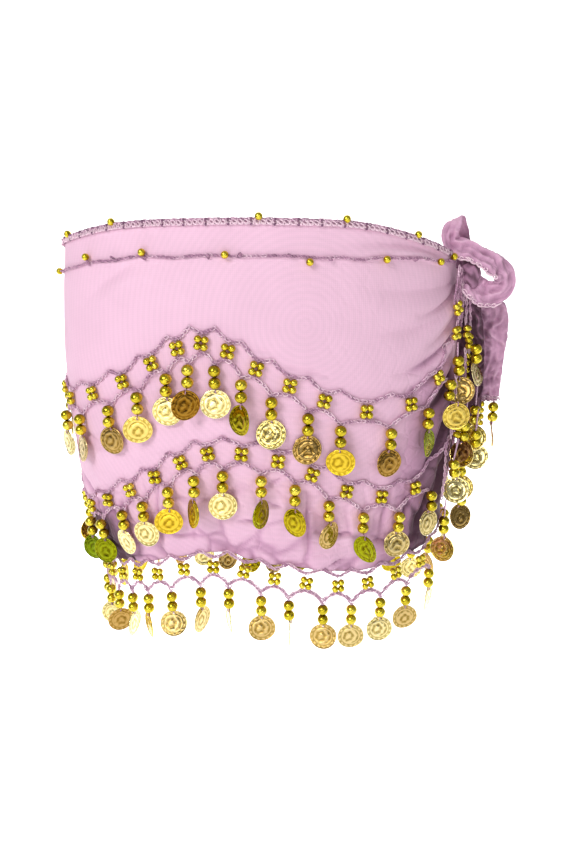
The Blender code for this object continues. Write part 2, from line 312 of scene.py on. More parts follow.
def smooth_table(table, column):
    """A smooth curve through one column of a table, against its first column."""
    rows = sorted(table)
    places = np.array([row[0] for row in rows], float)
    values = np.array([row[column] for row in rows], float)
    slopes = np.gradient(values, places)

    def read(place):
        at = np.clip(place, places[0], places[-1])
        k = np.clip(np.searchsorted(places, at) - 1, 0, len(places) - 2)
        span = places[k + 1] - places[k]
        u = (at - places[k]) / span
        rise = values[k + 1] - values[k]
        start = slopes[k] * span
        end = slopes[k + 1] * span
        curve = (3 * rise - 2 * start - end) * u**2 + (start + end - 2 * rise) * u**3
        return values[k] + start * u + curve

    return read


REACH = [smooth_table(FIGURE, column) for column in (1, 2, 3, 4)]
WAVE = {column: smooth_table(WAVES, column) for column in (TOP, UPPER, MIDDLE, HEM)}


def half_sizes(angle, height):
    """The figure's reach sideways and fore-and-aft, for one quarter of its section."""
    left, right, front, back = (read(height) for read in REACH)
    return np.where(np.sin(angle) > 0, right, left), np.where(np.cos(angle) > 0, front, back)


def lap_table():
    """Angle against distance along the hip section, both from the middle of the front."""
    angles = np.radians(np.arange(-300.0, 120.01, 0.5))
    sideways, depth = half_sizes(angles, HIP_HEIGHT)
    across, fore = sideways * np.sin(angles), -depth * np.cos(angles)
    laps = np.concatenate([[0.0], np.cumsum(np.hypot(np.diff(across), np.diff(fore)))])
    return angles, laps - np.interp(0.0, angles, laps)


ANGLES, LAPS = lap_table()


def on_figure(lap, height):
    """A place on the figure, and the level directions straight out and along the strip."""
    lap, height = np.broadcast_arrays(np.asarray(lap, float), np.asarray(height, float))
    angle = np.interp(lap, LAPS, ANGLES)
    sideways, depth = half_sizes(angle, height)
    place = np.stack([sideways * np.sin(angle), -depth * np.cos(angle), height], -1)
    out = np.stack([np.sin(angle) / sideways, -np.cos(angle) / depth, 0 * height], -1)
    out /= np.linalg.norm(out, axis=-1, keepdims=True)
    along = np.stack([-out[..., 1], out[..., 0], out[..., 2]], -1)
    return place, out, along


def crease_relief(lap, height):
    """Troughs along the listed creases, each with a low ridge beside it.

    Also how much painted shade each place takes, in the troughs and where the strip is squeezed
    into the knot, from 0 to 1.
    """
    # The strip is squeezed into the knot, and its colour there is painted in deep shade.
    squeezed = np.exp(-((lap - 178) ** 2 + 1.2 * (height + 42) ** 2) / 16.0**2)
    relief, folded = -3.0 * squeezed, 1.6 * squeezed
    for lap0, height0, lap1, height1, bow, half_width, depth in CREASES:
        run = (lap1 - lap0, height1 - height0)
        length = math.hypot(*run)
        side = 1.0 if run[0] > 0 else -1.0
        along = ((lap - lap0) * run[0] + (height - height0) * run[1]) / length**2
        inside = np.clip(along, 0, 1)
        across = side * ((height - height0) * run[0] - (lap - lap0) * run[1]) / length
        across = across - 4 * bow * inside * (1 - inside)
        width = half_width * (0.6 + 0.8 * inside)
        swell = np.sin(math.pi * inside**0.75) * (inside == along)
        trough = np.exp(-np.abs(across / (0.8 * width)) ** 1.4)
        ridge = 0.6 * np.exp(-(((across + 2.0 * width) / (1.3 * width)) ** 2))
        relief += CREASE_DEPTH * depth * swell * (ridge - trough)
        # Painted shade: the colour darkens along each trough.
        folded += 0.45 * depth * swell * np.exp(-((across / (0.6 * width)) ** 2))
    return relief, np.clip(folded, 0, 1.3)


def crumple(lap, height):
    """Crushed creases in a net of valleys, faint at the waist and deep at the hem.

    Also the painted shade in each valley, from 0 to 1, stronger towards the hem.
    """
    upper, hem = WAVE[UPPER](lap), WAVE[HEM](lap)
    share = np.clip((upper - height) / (upper - hem), 0, 1) ** 1.6
    depth = CRUMPLE_TOP + (CRUMPLE_HEM - CRUMPLE_TOP) * share
    valley = np.empty(np.shape(lap))
    swell = np.empty(np.shape(lap))
    for index in np.ndindex(valley.shape):
        place = Vector((lap[index], height[index], 0)) / CRUMPLE_CELL
        place += 0.35 * noise.noise_vector(place * 1.3)
        near = noise.voronoi(place)[0]
        valley[index] = math.exp(-(((near[1] - near[0]) / 0.1) ** 2))
        swell[index] = noise.noise(place * 1.7 + Vector((9, 4, 2)))
    return depth * (0.9 * swell - 0.75 * valley), share * valley


def end_curl(lap, height):
    """The strip's free ends turn inwards below the knot."""
    front = np.clip((lap - (FRONT_END - 20)) / 20, 0, 1) ** 2
    front *= np.clip((-50 - height) / 60, 0, 1)
    back = np.clip(((BACK_END + 20) - lap) / 20, 0, 1.6) ** 2
    return -END_CURL * (front + back)


def ease(value):
    """A smooth step from 0 to 1 as the value goes from 0 to 1."""
    share = np.clip(value, 0, 1)
    return share**2 * (3 - 2 * share)


def turned_away_shade(lap, height):
    """Painted shade: how much darker the colour is painted where the cloth turns away from the
    light.

    It deepens at the knot's side under the upper row, and at the other hip near the hem.
    """
    knot_side = ease((lap - 74) / 92) * ease((-84 - height) / 46)
    knot_side = knot_side + ease((-628 - lap) / 50) * ease((-84 - height) / 46)
    far_hip = ease((-112 - lap) / 46) * ease((lap + 262) / 46)
    far_hip = far_hip * ease((WAVE[MIDDLE](lap) - height) / 30)
    return 0.6 * knot_side + 0.62 * far_hip


def cloth_relief(lap, height):
    """How far the cloth's middle stands off its smooth form, and how much painted shade its colour
    takes.
    """
    lap, height = np.broadcast_arrays(np.asarray(lap, float), np.asarray(height, float))
    creases, folded = crease_relief(lap, height)
    crushed, valley = crumple(lap, height)
    # Painted shade in the troughs, in the crushed valleys and where the cloth turns from the
    # light.
    painted_shade = 0.4 * folded + 0.22 * valley + turned_away_shade(lap, height)
    return creases + crushed + end_curl(lap, height), painted_shade


def on_cloth(lap, height, out=0.0):
    """Places out from the middle of the cloth, creases and all."""
    place, outward, _ = on_figure(lap, height)
    lift = WALL / 2 + cloth_relief(lap, height)[0] + out
    return place + outward * np.asarray(lift)[..., None]


def line_height(lap):
    """The bead line: parallel to the edge, then up to it before the knot."""
    left = np.minimum(FRONT_END - lap, lap - BACK_END)
    share = np.minimum(1.0, 0.1 + 0.9 * left / LINE_CLOSE)
    return WAVE[TOP](lap) - np.maximum(LINE_LEAST, LINE_DROP * share)


# =========================== materials ===========================

def colour(code):
    """An sRGB hex colour as linear red, green, blue and alpha."""
    values = [int(code[k:k + 2], 16) / 255 for k in (1, 3, 5)]
    linear = [v / 12.92 if v <= 0.04045 else ((v + 0.055) / 1.055) ** 2.4 for v in values]
    return (*linear, 1.0)


def feed(tree, made, inputs):
    """Sets a node's inputs, each to a value or to another node's output."""
    for name, value in inputs.items():
        if isinstance(value, bpy.types.NodeSocket):
            tree.links.new(value, made.inputs[name])
        else:
            made.inputs[name].default_value = value


def node(tree, kind, inputs=None, stops=None, **settings):
    """Adds a node with its settings, its inputs and a colour ramp's stops."""
    made = tree.nodes.new(kind)
    for name, value in settings.items():
        setattr(made, name, value)
    feed(tree, made, inputs or {})
    if stops:
        elements = made.color_ramp.elements
        while len(elements) < len(stops):
            elements.new(0.5)
        for element, (place, code) in zip(elements, stops):
            element.position = place
            element.color = colour(code)
    return made


def new_material(name, surface):
    """A material whose shader has these fixed values, its node tree and its shader."""
    material = bpy.data.materials.new(name)
    material.use_nodes = True
    tree = material.node_tree
    shader = tree.nodes["Principled BSDF"]
    feed(tree, shader, surface)
    return material, tree, shader


def wave_scale(period):
    """The Wave texture's scale for one band in this many millimetres."""
    return 2 * math.pi / (20 * period * MM)


def woven_chiffon():
    """Plain-woven polyester chiffon: matt with a soft sheen, fine ribs of crepe yarn."""
    material, tree, shader = new_material("woven_polyester_chiffon", {
        "Roughness": 0.72, "Specular IOR Level": 0.25, "Sheen Weight": 0.25,
        "Sheen Roughness": 0.5, "Sheen Tint": colour("#FFE6F6")})
    cut = node(tree, "ShaderNodeUVMap", uv_map="cut").outputs["UV"]
    shade_tint = node(tree, "ShaderNodeAttribute", attribute_name="tint").outputs["Fac"]
    # Warp and weft are about 0.4 mm apart; they are drawn 1.5 and 1.3 mm apart to show.
    weft = node(tree, "ShaderNodeTexWave", bands_direction="Y",
                inputs={"Vector": cut, "Scale": wave_scale(1.3), "Distortion": 0.6,
                        "Detail": 2.0, "Detail Scale": 1.5})
    warp = node(tree, "ShaderNodeTexWave", bands_direction="X",
                inputs={"Vector": cut, "Scale": wave_scale(1.5), "Distortion": 0.6,
                        "Detail": 2.0, "Detail Scale": 1.5})
    weave = node(tree, "ShaderNodeMath", operation="ADD",
                 inputs={0: weft.outputs["Fac"], 1: warp.outputs["Fac"]}).outputs[0]
    # Two layers of fine ribs cross at a slight angle, which gives broad watered rings.
    moved = node(tree, "ShaderNodeMapping",
                 inputs={"Vector": cut, "Location": (-0.03, 0.072, 0.0)}).outputs[0]
    watered = node(tree, "ShaderNodeTexWave", wave_type="RINGS", rings_direction="Z",
                   inputs={"Vector": moved, "Scale": wave_scale(4.6), "Distortion": 5.0,
                           "Detail": 1.0, "Detail Scale": 0.06}).outputs["Fac"]
    blotch = node(tree, "ShaderNodeTexNoise",
                  inputs={"Vector": cut, "Scale": 22.0, "Detail": 3.0}).outputs["Fac"]
    # The tint runs from the chiffon's own pale pink into mauve and dark plum, which are painted
    # shade: in creases, towards the hem, on the bow and tail, darkest on the knot and the fold
    # behind the tail.
    base = node(tree, "ShaderNodeValToRGB", inputs={"Fac": shade_tint},
                stops=((0.0, "#EDC3DA"), (0.42, "#EBC0D8"), (0.62, "#D0A0BE"),
                       (0.82, "#A47894"), (1.0, "#5A3A4C"))).outputs[0]
    shaded = node(tree, "ShaderNodeMapRange",
                  inputs={"Value": blotch, "From Min": 0.3, "From Max": 0.7,
                          "To Min": 0.965, "To Max": 1.02}).outputs[0]
    ribbed = node(tree, "ShaderNodeMapRange",
                  inputs={"Value": weave, "From Min": 0.0, "From Max": 2.0,
                          "To Min": 0.95, "To Max": 1.02}).outputs[0]
    rings = node(tree, "ShaderNodeMapRange",
                 inputs={"Value": watered, "To Min": 0.975, "To Max": 1.01}).outputs[0]
    grain = node(tree, "ShaderNodeMath", operation="MULTIPLY",
                 inputs={0: shaded, 1: ribbed}).outputs[0]
    grain = node(tree, "ShaderNodeMath", operation="MULTIPLY",
                 inputs={0: grain, 1: rings}).outputs[0]
    toned = node(tree, "ShaderNodeVectorMath", operation="SCALE",
                 inputs={0: base, "Scale": grain}).outputs[0]
    # Fine crinkles, a net of sharp folds 7 to 15 mm apart, stronger towards the hem.
    bent = node(tree, "ShaderNodeTexNoise", inputs={"Vector": cut, "Scale": 60.0, "Detail": 2.0})
    bent = node(tree, "ShaderNodeVectorMath", operation="SCALE",
                inputs={0: bent.outputs["Color"], "Scale": 0.012}).outputs[0]
    bent = node(tree, "ShaderNodeVectorMath", operation="ADD", inputs={0: cut, 1: bent}).outputs[0]
    fold = node(tree, "ShaderNodeTexVoronoi", feature="DISTANCE_TO_EDGE",
                inputs={"Vector": bent, "Scale": 75.0}).outputs["Distance"]
    fold = node(tree, "ShaderNodeMapRange",
                inputs={"Value": fold, "From Max": 0.16, "To Min": 0.0, "To Max": 1.0}).outputs[0]
    deep = node(tree, "ShaderNodeMapRange",
                inputs={"Value": shade_tint, "From Min": 0.25, "From Max": 0.6, "To Min": 0.1,
                        "To Max": 0.55}).outputs[0]
    bump = node(tree, "ShaderNodeBump",
                inputs={"Height": fold, "Strength": deep, "Distance": 0.0007})
    bump = node(tree, "ShaderNodeBump",
                inputs={"Height": weave, "Strength": 0.25, "Distance": 0.00012,
                        "Normal": bump.outputs[0]})
    feed(tree, shader, {"Base Color": toned, "Normal": bump.outputs[0]})
    return material


def crocheted_viscose():
    """Twisted viscose yarn, crocheted: a silky sheen, with painted highlight on the plies and
    painted shade in the turns.
    """
    material, tree, shader = new_material("crocheted_viscose_yarn", {
        "Roughness": 0.5, "Specular IOR Level": 0.4, "Sheen Weight": 0.4,
        "Sheen Roughness": 0.4, "Sheen Tint": colour("#FFDDF5")})
    tint = node(tree, "ShaderNodeAttribute", attribute_name="tint").outputs["Fac"]
    place = node(tree, "ShaderNodeTexCoord").outputs["Object"]
    # The two plies turn about every 1.2 mm.
    twist = node(tree, "ShaderNodeTexWave", bands_direction="DIAGONAL",
                 inputs={"Vector": place, "Scale": wave_scale(1.2), "Distortion": 2.0,
                         "Detail": 1.0}).outputs["Fac"]
    mixed = node(tree, "ShaderNodeMath", operation="MULTIPLY_ADD",
                 inputs={0: twist, 1: 0.25, 2: tint}).outputs[0]
    # Partly the yarn's own colour, varying at random from stitch to stitch; partly painted shade
    # and highlight, banded by the twist and darkest on the core.
    dye_and_shade = node(tree, "ShaderNodeValToRGB", inputs={"Fac": mixed},
                stops=((0.05, "#6A4260"), (0.5, "#C494B2"), (1.0, "#F8DAE8"))).outputs[0]
    bump = node(tree, "ShaderNodeBump",
                inputs={"Height": twist, "Strength": 0.6, "Distance": 0.0002})
    feed(tree, shader, {"Base Color": dye_and_shade, "Normal": bump.outputs[0]})
    return material


def stamped_brass():
    """Thin stamped brass, gold plated: bright with worn high spots, dark in the recesses."""
    material, tree, shader = new_material("gold_plated_stamped_brass", {"Metallic": 1.0})
    tint = node(tree, "ShaderNodeAttribute", attribute_name="tint").outputs["Fac"]
    relief = node(tree, "ShaderNodeAttribute", attribute_name="relief").outputs["Fac"]
    place = node(tree, "ShaderNodeTexCoord").outputs["Object"]
    plating = node(tree, "ShaderNodeValToRGB", inputs={"Fac": tint},
                   stops=((0.0, "#7F9A12"), (0.25, "#C9B81E"), (0.5, "#EBC93F"),
                          (0.72, "#FBEFB4"), (1.0, "#BA8A34"))).outputs[0]
    # Tarnish stays in the stamped hollows, in specks about two millimetres across.
    specks = node(tree, "ShaderNodeTexNoise",
                  inputs={"Vector": place, "Scale": 480.0, "Detail": 2.0}).outputs["Fac"]
    hollow = node(tree, "ShaderNodeMath", operation="MULTIPLY_ADD",
                  inputs={0: specks, 1: 0.3, 2: relief}).outputs[0]
    clean = node(tree, "ShaderNodeValToRGB", inputs={"Fac": hollow},
                 stops=((0.45, "#8A7434"), (0.65, "#DED4B0"), (0.85, "#FFFFFF"))).outputs[0]
    toned = node(tree, "ShaderNodeVectorMath", operation="MULTIPLY",
                 inputs={0: plating, 1: clean}).outputs[0]
    worn = node(tree, "ShaderNodeMapRange",
                inputs={"Value": specks, "From Min": 0.35, "From Max": 0.7,
                        "To Min": 0.12, "To Max": 0.24}).outputs[0]
    bump = node(tree, "ShaderNodeBump",
                inputs={"Height": specks, "Strength": 0.35, "Distance": 0.0003})
    feed(tree, shader, {"Base Color": toned, "Roughness": worn, "Normal": bump.outputs[0]})
    return material


def plated_bead():
    """Moulded ABS with a vacuum gold coat: satin, its tone varying at random, with painted olive
    shade round the holes.
    """
    material, tree, shader = new_material("vacuum_plated_abs_bead", {"Metallic": 1.0})
    tint = node(tree, "ShaderNodeAttribute", attribute_name="tint").outputs["Fac"]
    place = node(tree, "ShaderNodeTexCoord").outputs["Object"]
    cloud = node(tree, "ShaderNodeTexNoise",
                 inputs={"Vector": place, "Scale": 260.0, "Detail": 2.0}).outputs["Fac"]
    mixed = node(tree, "ShaderNodeMath", operation="MULTIPLY_ADD",
                 inputs={0: cloud, 1: 0.4, 2: tint}).outputs[0]
    # The coat's olive low end is mostly painted shade round the holes; the rest of its tone varies
    # at random.
    coat = node(tree, "ShaderNodeValToRGB", inputs={"Fac": mixed},
                stops=((0.0, "#5A4A0C"), (0.3, "#AE9A20"), (0.6, "#DCC836"),
                       (1.0, "#F6E868"))).outputs[0]
    satin = node(tree, "ShaderNodeMapRange",
                 inputs={"Value": cloud, "From Min": 0.3, "From Max": 0.7,
                         "To Min": 0.2, "To Max": 0.3}).outputs[0]
    feed(tree, shader, {"Base Color": coat, "Roughness": satin})
    return material


def studio_paper():
    """Seamless white background paper: matt, with a faint fibre."""
    # Light that bounces about the white studio keeps the paper even.
    material, tree, shader = new_material("seamless_background_paper", {
        "Roughness": 0.95, "Emission Color": colour("#FFFFFF"), "Emission Strength": 0.3})
    place = node(tree, "ShaderNodeTexCoord").outputs["Object"]
    fibre = node(tree, "ShaderNodeTexNoise",
                 inputs={"Vector": place, "Scale": 60.0, "Detail": 4.0}).outputs["Fac"]
    tone = node(tree, "ShaderNodeValToRGB", inputs={"Fac": fibre},
                stops=((0.3, "#FAFAFA"), (0.7, "#FFFFFF"))).outputs[0]
    feed(tree, shader, {"Base Color": tone})
    return material


CHIFFON = woven_chiffon()
YARN_FINISH = crocheted_viscose()
COIN_FINISH = stamped_brass()
BEAD_FINISH = plated_bead()


# =========================== meshes ===========================

def mesh_piece(name, points, faces, material, replaced=(), attributes=None, cut=None):
    """A named piece from points in millimetres, riding on the frame's one body."""
    data = bpy.data.meshes.new(name)
    data.from_pydata((np.asarray(points) * MM).tolist(), [], faces)
    data.shade_smooth()
    for key, values in (attributes or {}).items():
        data.attributes.new(key, "FLOAT", "POINT").data.foreach_set("value", values)
    if cut is not None:
        corners = np.empty(len(data.loops), int)
        data.loops.foreach_get("vertex_index", corners)
        layer = data.uv_layers.new(name="cut")
        layer.data.foreach_set("uv", (np.asarray(cut)[corners] * MM).ravel())
    data.materials.append(material)
    piece = bpy.data.objects.new(name, data)
    bpy.context.collection.objects.link(piece)
    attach(piece, "root")
    if replaced:
        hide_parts(*replaced)
    return piece


def grid_faces(columns, rows, joined=False):
    """Faces of a grid of points, column by column; joined, it closes on its first column."""
    return [(i * rows + j, i * rows + j + 1, (i + 1) % columns * rows + j + 1,
             (i + 1) % columns * rows + j)
            for i in range(columns if joined else columns - 1) for j in range(rows - 1)]


class Pile:
    """Many small things gathered into one mesh, each with its own tint from 0 to 1."""

    def __init__(self):
        self.points, self.faces, self.tints, self.reliefs = [], [], [], []
        self.count = 0

    def add(self, shape, place=(0, 0, 0), axes=None, tint=0.5):
        points, faces, relief = shape
        axes = np.eye(3) if axes is None else np.asarray(axes)
        self.points.append(points @ axes + np.asarray(place))
        self.faces += [[corner + self.count for corner in face] for face in faces]
        # A negative relief, as on the beads, lowers the tint: painted shade.
        self.tints.append(tint + np.minimum(relief, 0))
        self.reliefs.append(relief)
        self.count += len(points)

    def piece(self, name, material, slot, replaced=()):
        attributes = {"tint": np.concatenate(self.tints),
                      "relief": np.concatenate(self.reliefs)}
        return mesh_piece(name, np.concatenate(self.points), self.faces, material,
                          replaced, attributes)


def drop_kit():
    """Piles for what a row's drops are made of."""
    return {"yarn": Pile(), "beads": Pile(), "coins": Pile()}


def kit_pieces(kit, coins, beads, yarn, replaced):
    return [kit["coins"].piece(coins, COIN_FINISH, "gold_coin", replaced),
            kit["beads"].piece(beads, BEAD_FINISH, "gold_bead"),
            kit["yarn"].piece(yarn, YARN_FINISH, "crochet_yarn")]


def unit(vector):
    """Vectors of the same direction with a length of one."""
    return vector / np.linalg.norm(vector, axis=-1, keepdims=True)


def cord(path, radius, sides=6, closed=False):
    """A round cord through points, with flat ends or joined up."""
    path = np.asarray(path, float)
    if closed:
        ahead = unit(np.roll(path, -1, 0) - np.roll(path, 1, 0))
    else:
        ahead = unit(np.gradient(path, axis=0))
    guide = np.array((0.12, 0.31, 0.94))
    side = unit(np.cross(ahead, guide))
    up = np.cross(side, ahead)
    turn = np.arange(sides) * 2 * math.pi / sides
    rings = (path[:, None] + radius * (np.cos(turn)[None, :, None] * side[:, None]
                                       + np.sin(turn)[None, :, None] * up[:, None]))
    count = len(path)
    faces = []
    for i in range(count if closed else count - 1):
        a, b = i * sides, (i + 1) % count * sides
        faces += [(a + j, a + (j + 1) % sides, b + (j + 1) % sides, b + j)
                  for j in range(sides)]
    if not closed:
        faces += [tuple(range(sides))[::-1],
                  tuple(range((count - 1) * sides, count * sides))]
    points = rings.reshape(-1, 3)
    return points, faces, np.ones(len(points))


def chain_stitch():
    """One loop of crochet chain, a long teardrop that lies along x and faces z."""
    turn = np.arange(10) * 2 * math.pi / 10
    long = STITCH_LONG / 2 * np.cos(turn)
    wide = STITCH_WIDE / 2 * np.sin(turn) * (0.85 + 0.3 * np.cos(turn))
    lift = 0.55 * np.cos(turn)
    return cord(np.stack([long, wide, lift], -1), YARN, 4, closed=True)


def turned_bead(radius, rings, segments):
    """A round bead with a fine hole down its z axis, painted in shade round the hole where beads
    touch.
    """
    shut = 0.17
    falls = np.linspace(shut, math.pi - shut, rings)
    turn = np.arange(segments) * 2 * math.pi / segments
    points = [(radius * math.sin(f) * math.cos(t), radius * math.sin(f) * math.sin(t),
               0.96 * radius * math.cos(f)) for f in falls for t in turn]
    faces = [(i * segments + j, (i + 1) * segments + j,
              (i + 1) * segments + (j + 1) % segments, i * segments + (j + 1) % segments)
             for i in range(rings - 1) for j in range(segments)]
    faces += [tuple(range(segments)),
              tuple(range((rings - 1) * segments, rings * segments))[::-1]]
    # Painted shade: darkest at the holes, where the beads meet their neighbours.
    hole_shade = [-0.55 * abs(math.cos(f)) ** 5 for f in falls for _ in turn]
    return np.array(points), faces, np.array(hole_shade)


COIN_RINGS = (1.2, 2.4, 3.5, 4.5, 5.5, 6.4, 7.2, 8.1, 8.5, 9.1, 9.8, 10.2, 10.6, 11.1)
COIN_SIDES = 42            # three to each of the fourteen dots
HOLE_RINGS = (7, 9)        # the small hole takes two cells between these rings
MOTIFS = ((1.6, -0.9, 0.4), (-1.2, 1.4, 2.2), (0.5, 2.1, 4.1))
COIN_DOME = 0.35           # how far a coin's middle stands above its rim
RIM = 10.4                 # radii on the face: the raised rim's inner edge,
DOTS = (8.7, 10.0)         # the ring of dots in its sunk band,
BAND = 8.2
LINE = (7.0, 7.6)          # and the line round the figure


def coin_relief(radius, turn, side, motif):
    """Height of the stamped face: rim, ring of dots, and a plain raised figure inside."""
    dome = COIN_DOME * (1 - (radius / COIN) ** 2)
    if radius >= RIM:
        return dome + 0.26
    if radius > BAND:
        return dome + (0.3 if DOTS[0] < radius < DOTS[1] and side % 3 == 1 else -0.1)
    if radius > LINE[0]:
        return dome + (0.16 if radius < LINE[1] else -0.1)
    left, up, start = MOTIFS[motif]
    x, y = radius * math.cos(turn) + left, radius * math.sin(turn) + up
    scroll = math.sin(1.35 * math.hypot(x, y) + 1.2 * math.sin(turn + start))
    grain = math.sin(1.1 * x + start) * math.cos(0.95 * y - start)
    figure = math.tanh(1.6 * (0.8 * scroll + 0.7 * grain))
    return dome + 0.2 * figure * min(1.0, (LINE[1] - radius) / 1.2)


def stamped_coin(motif, bend):
    """A thin coin facing z with its hole towards y, both faces following one relief."""
    turns = [math.pi / 2 + (k - 0.5) * 2 * math.pi / COIN_SIDES for k in range(COIN_SIDES)]
    points, relief = [], []
    for face in (0.5, -0.5):
        height = coin_relief(0.0, 0.0, 0, motif)
        points.append((0.0, 0.0, height + face * COIN_THICK))
        relief.append(0.6)
        for radius in COIN_RINGS:
            for side, turn in enumerate(turns):
                height = coin_relief(radius, turn, side, motif)
                x, y = radius * math.cos(turn), radius * math.sin(turn)
                warp = bend * (x * x - 0.6 * y * y + 0.8 * x * y) / COIN**2
                points.append((x, y, height + warp + face * COIN_THICK))
                flat = height - COIN_DOME * (1 - (radius / COIN) ** 2)
                relief.append(0.58 + flat)
    half = 1 + len(COIN_RINGS) * COIN_SIDES

    def corner(face, ring, side):
        return face * half + 1 + ring * COIN_SIDES + side % COIN_SIDES

    hole = {(ring, 0) for ring in range(*HOLE_RINGS)}
    faces = []
    for side in range(COIN_SIDES):
        faces.append((0, corner(0, 0, side), corner(0, 0, side + 1)))
        faces.append((half, corner(1, 0, side + 1), corner(1, 0, side)))
        last = len(COIN_RINGS) - 1
        faces.append((corner(0, last, side), corner(1, last, side),
                      corner(1, last, side + 1), corner(0, last, side + 1)))
        for ring in range(last):
            if (ring, side) in hole:
                continue
            faces.append((corner(0, ring, side), corner(0, ring + 1, side),
                          corner(0, ring + 1, side + 1), corner(0, ring, side + 1)))
            faces.append((corner(1, ring, side + 1), corner(1, ring + 1, side + 1),
                          corner(1, ring + 1, side), corner(1, ring, side)))
    low, high = HOLE_RINGS
    edge = [(ring, 1) for ring in range(low, high + 1)]
    edge = [(low, 0)] + edge + [(ring, 0) for ring in range(high, low, -1)]
    for (ring, side), (ring2, side2) in zip(edge, edge[1:] + edge[:1]):
        faces.append((corner(0, ring, side), corner(0, ring2, side2),
                      corner(1, ring2, side2), corner(1, ring, side)))
    return np.array(points), faces, np.array(relief)


STITCH_SHAPE = chain_stitch()
BEAD_SHAPE = turned_bead(BEAD, 9, 14)
SMALL_BEAD_SHAPE = turned_bead(SMALL_BEAD, 7, 10)
COIN_SHAPES = [stamped_coin(motif, bend) for motif, bend in
               ((0, 0.5), (1, -0.4), (2, 0.6), (1, 0.9), (0, -0.8))]


# =========================== crochet ===========================

def crochet(pile, path, outwards, step=STITCH, wide=1.0, tint=0.6, roll=22.0):
    """Chain stitches round a core, along a path with its outward directions."""
    path, outwards = np.asarray(path, float), np.asarray(outwards, float)
    reach = np.concatenate([[0.0], np.cumsum(np.linalg.norm(np.diff(path, axis=0), axis=1))])
    count = max(2, int(round(reach[-1] / step)))
    stops = (np.arange(count) + 0.5) * reach[-1] / count
    middles = np.stack([np.interp(stops, reach, path[:, k]) for k in range(3)], -1)
    outs = np.stack([np.interp(stops, reach, outwards[:, k]) for k in range(3)], -1)
    ahead = np.gradient(path, reach, axis=0)
    aheads = unit(np.stack([np.interp(stops, reach, ahead[:, k]) for k in range(3)], -1))
    pile.add(cord(middles, CORE * wide, 4), tint=CORE_SHADE_TINT)
    for k in range(count):
        side = unit(np.cross(outs[k], aheads[k]))
        up = np.cross(aheads[k], side)
        lean = math.radians(roll * (-1) ** k + rng.uniform(-STITCH_TIP, STITCH_TIP))
        side, up = (side * math.cos(lean) + up * math.sin(lean),
                    up * math.cos(lean) - side * math.sin(lean))
        axes = np.stack([aheads[k], side * wide, up])
        jog = side * rng.uniform(-STITCH_JOG, STITCH_JOG)
        shade = tint + rng.uniform(-STITCH_TINTS, STITCH_TINTS)
        pile.add(STITCH_SHAPE, middles[k] + jog, axes, shade)


def row_place(row, lap, drop, out=0.0):
    """A place that hangs this far under a row's line, with its outward direction."""
    if row == HEM:
        place, outward, _ = on_figure(lap, WAVE[HEM](lap))
        place = place + outward * (WALL / 2 + out)
        place[..., 2] -= np.asarray(drop) + HEM_EXTRA * np.clip(np.asarray(drop) / 5, 0, 1)
        return place, outward
    height = WAVE[row](lap) - drop
    return on_cloth(lap, height, out), on_figure(lap, height)[1]


def row_drops(row, front):
    """The row's drops all round: the front ones as listed, then on round the back."""
    drops = sorted(front)
    lap = drops[0][0]
    behind = []
    while True:
        phase = 2 * math.pi * (lap - CREST_LAP) / CREST_PITCH
        lap -= ROW_PITCH[row] - ROW_BUNCHING[row] * math.cos(phase) + rng.uniform(-2.5, 2.5)
        if lap < LAST_DROP:
            return behind[::-1] + drops
        facing = rng.choice((0, 0, 12, -12, 30, -30, 55, -60))
        behind.append((lap, facing + rng.uniform(-6, 6), rng.uniform(0.15, 1.0)))


def scallops(laps, rise_at_drop, rise_between, sharp):
    """Laps and drops of a line that dips or peaks at each drop and bends between them."""
    line_laps, line_drops = [], []
    steps = np.linspace(0, 1, 12, endpoint=False)
    for near, far in zip(laps, laps[1:]):
        line_laps.append(near + (far - near) * steps)
        bend = np.sin(math.pi * steps) ** sharp
        line_drops.append(rise_at_drop + (rise_between - rise_at_drop) * bend)
    return (np.concatenate(line_laps + [[laps[-1]]]),
            np.concatenate(line_drops + [[rise_at_drop]]))


def crochet_row(pile, row, laps):
    """The row's net: an upper chain sewn on over each drop, and arches under the flowers."""
    stops = [BACK_END + 4] + list(laps) + [FRONT_END - 2]
    line, drops = scallops(stops, -PEAK_RISE, CHAIN_SAG - PEAK_RISE, 1.0)
    wander = np.array([0.7 * noise.noise(Vector((lap / 9, row, 0))) for lap in line])
    crochet(pile, *row_place(row, line, drops + wander, CHAIN_LIFT), tint=0.52)
    line, drops = scallops(laps, VALLEY_DROP[row], ARCH_DROP, 0.72)
    wander = np.array([0.6 * noise.noise(Vector((lap / 7, row + 9, 0))) for lap in line])
    crochet(pile, *row_place(row, line, drops + wander, CHAIN_LIFT + 0.6),
            wide=1.2 if row == HEM else 1.0, tint=0.62)


def tie(pile, ends, outs, tint=0.6):
    """A short doubled cord between two places."""
    start, end = np.asarray(ends, float)
    path = start + (end - start) * np.linspace(0, 1, 4)[:, None]
    for side in (-0.45, 0.45):
        shift = unit(np.cross(outs, end - start)) * side
        pile.add(cord(path + shift, YARN, 5), tint=tint + side * 0.4)


def flower(beads, place, along, out, tilt):
    """Four small beads in a square, lying against the cloth."""
    up = np.cross(out, along)
    lean = math.radians(tilt)
    right = along * math.cos(lean) + up * math.sin(lean)
    up = np.cross(out, right)
    for across in (-1, 1):
        for rise in (-1, 1):
            shift = right * across * FLOWER_HALF[0] + up * rise * FLOWER_HALF[1]
            jog = out * rng.uniform(-0.25, 0.35)
            beads.add(SMALL_BEAD_SHAPE, place + shift + jog,
                      np.stack([out, right, up]), rng.uniform(0.3, 0.6))


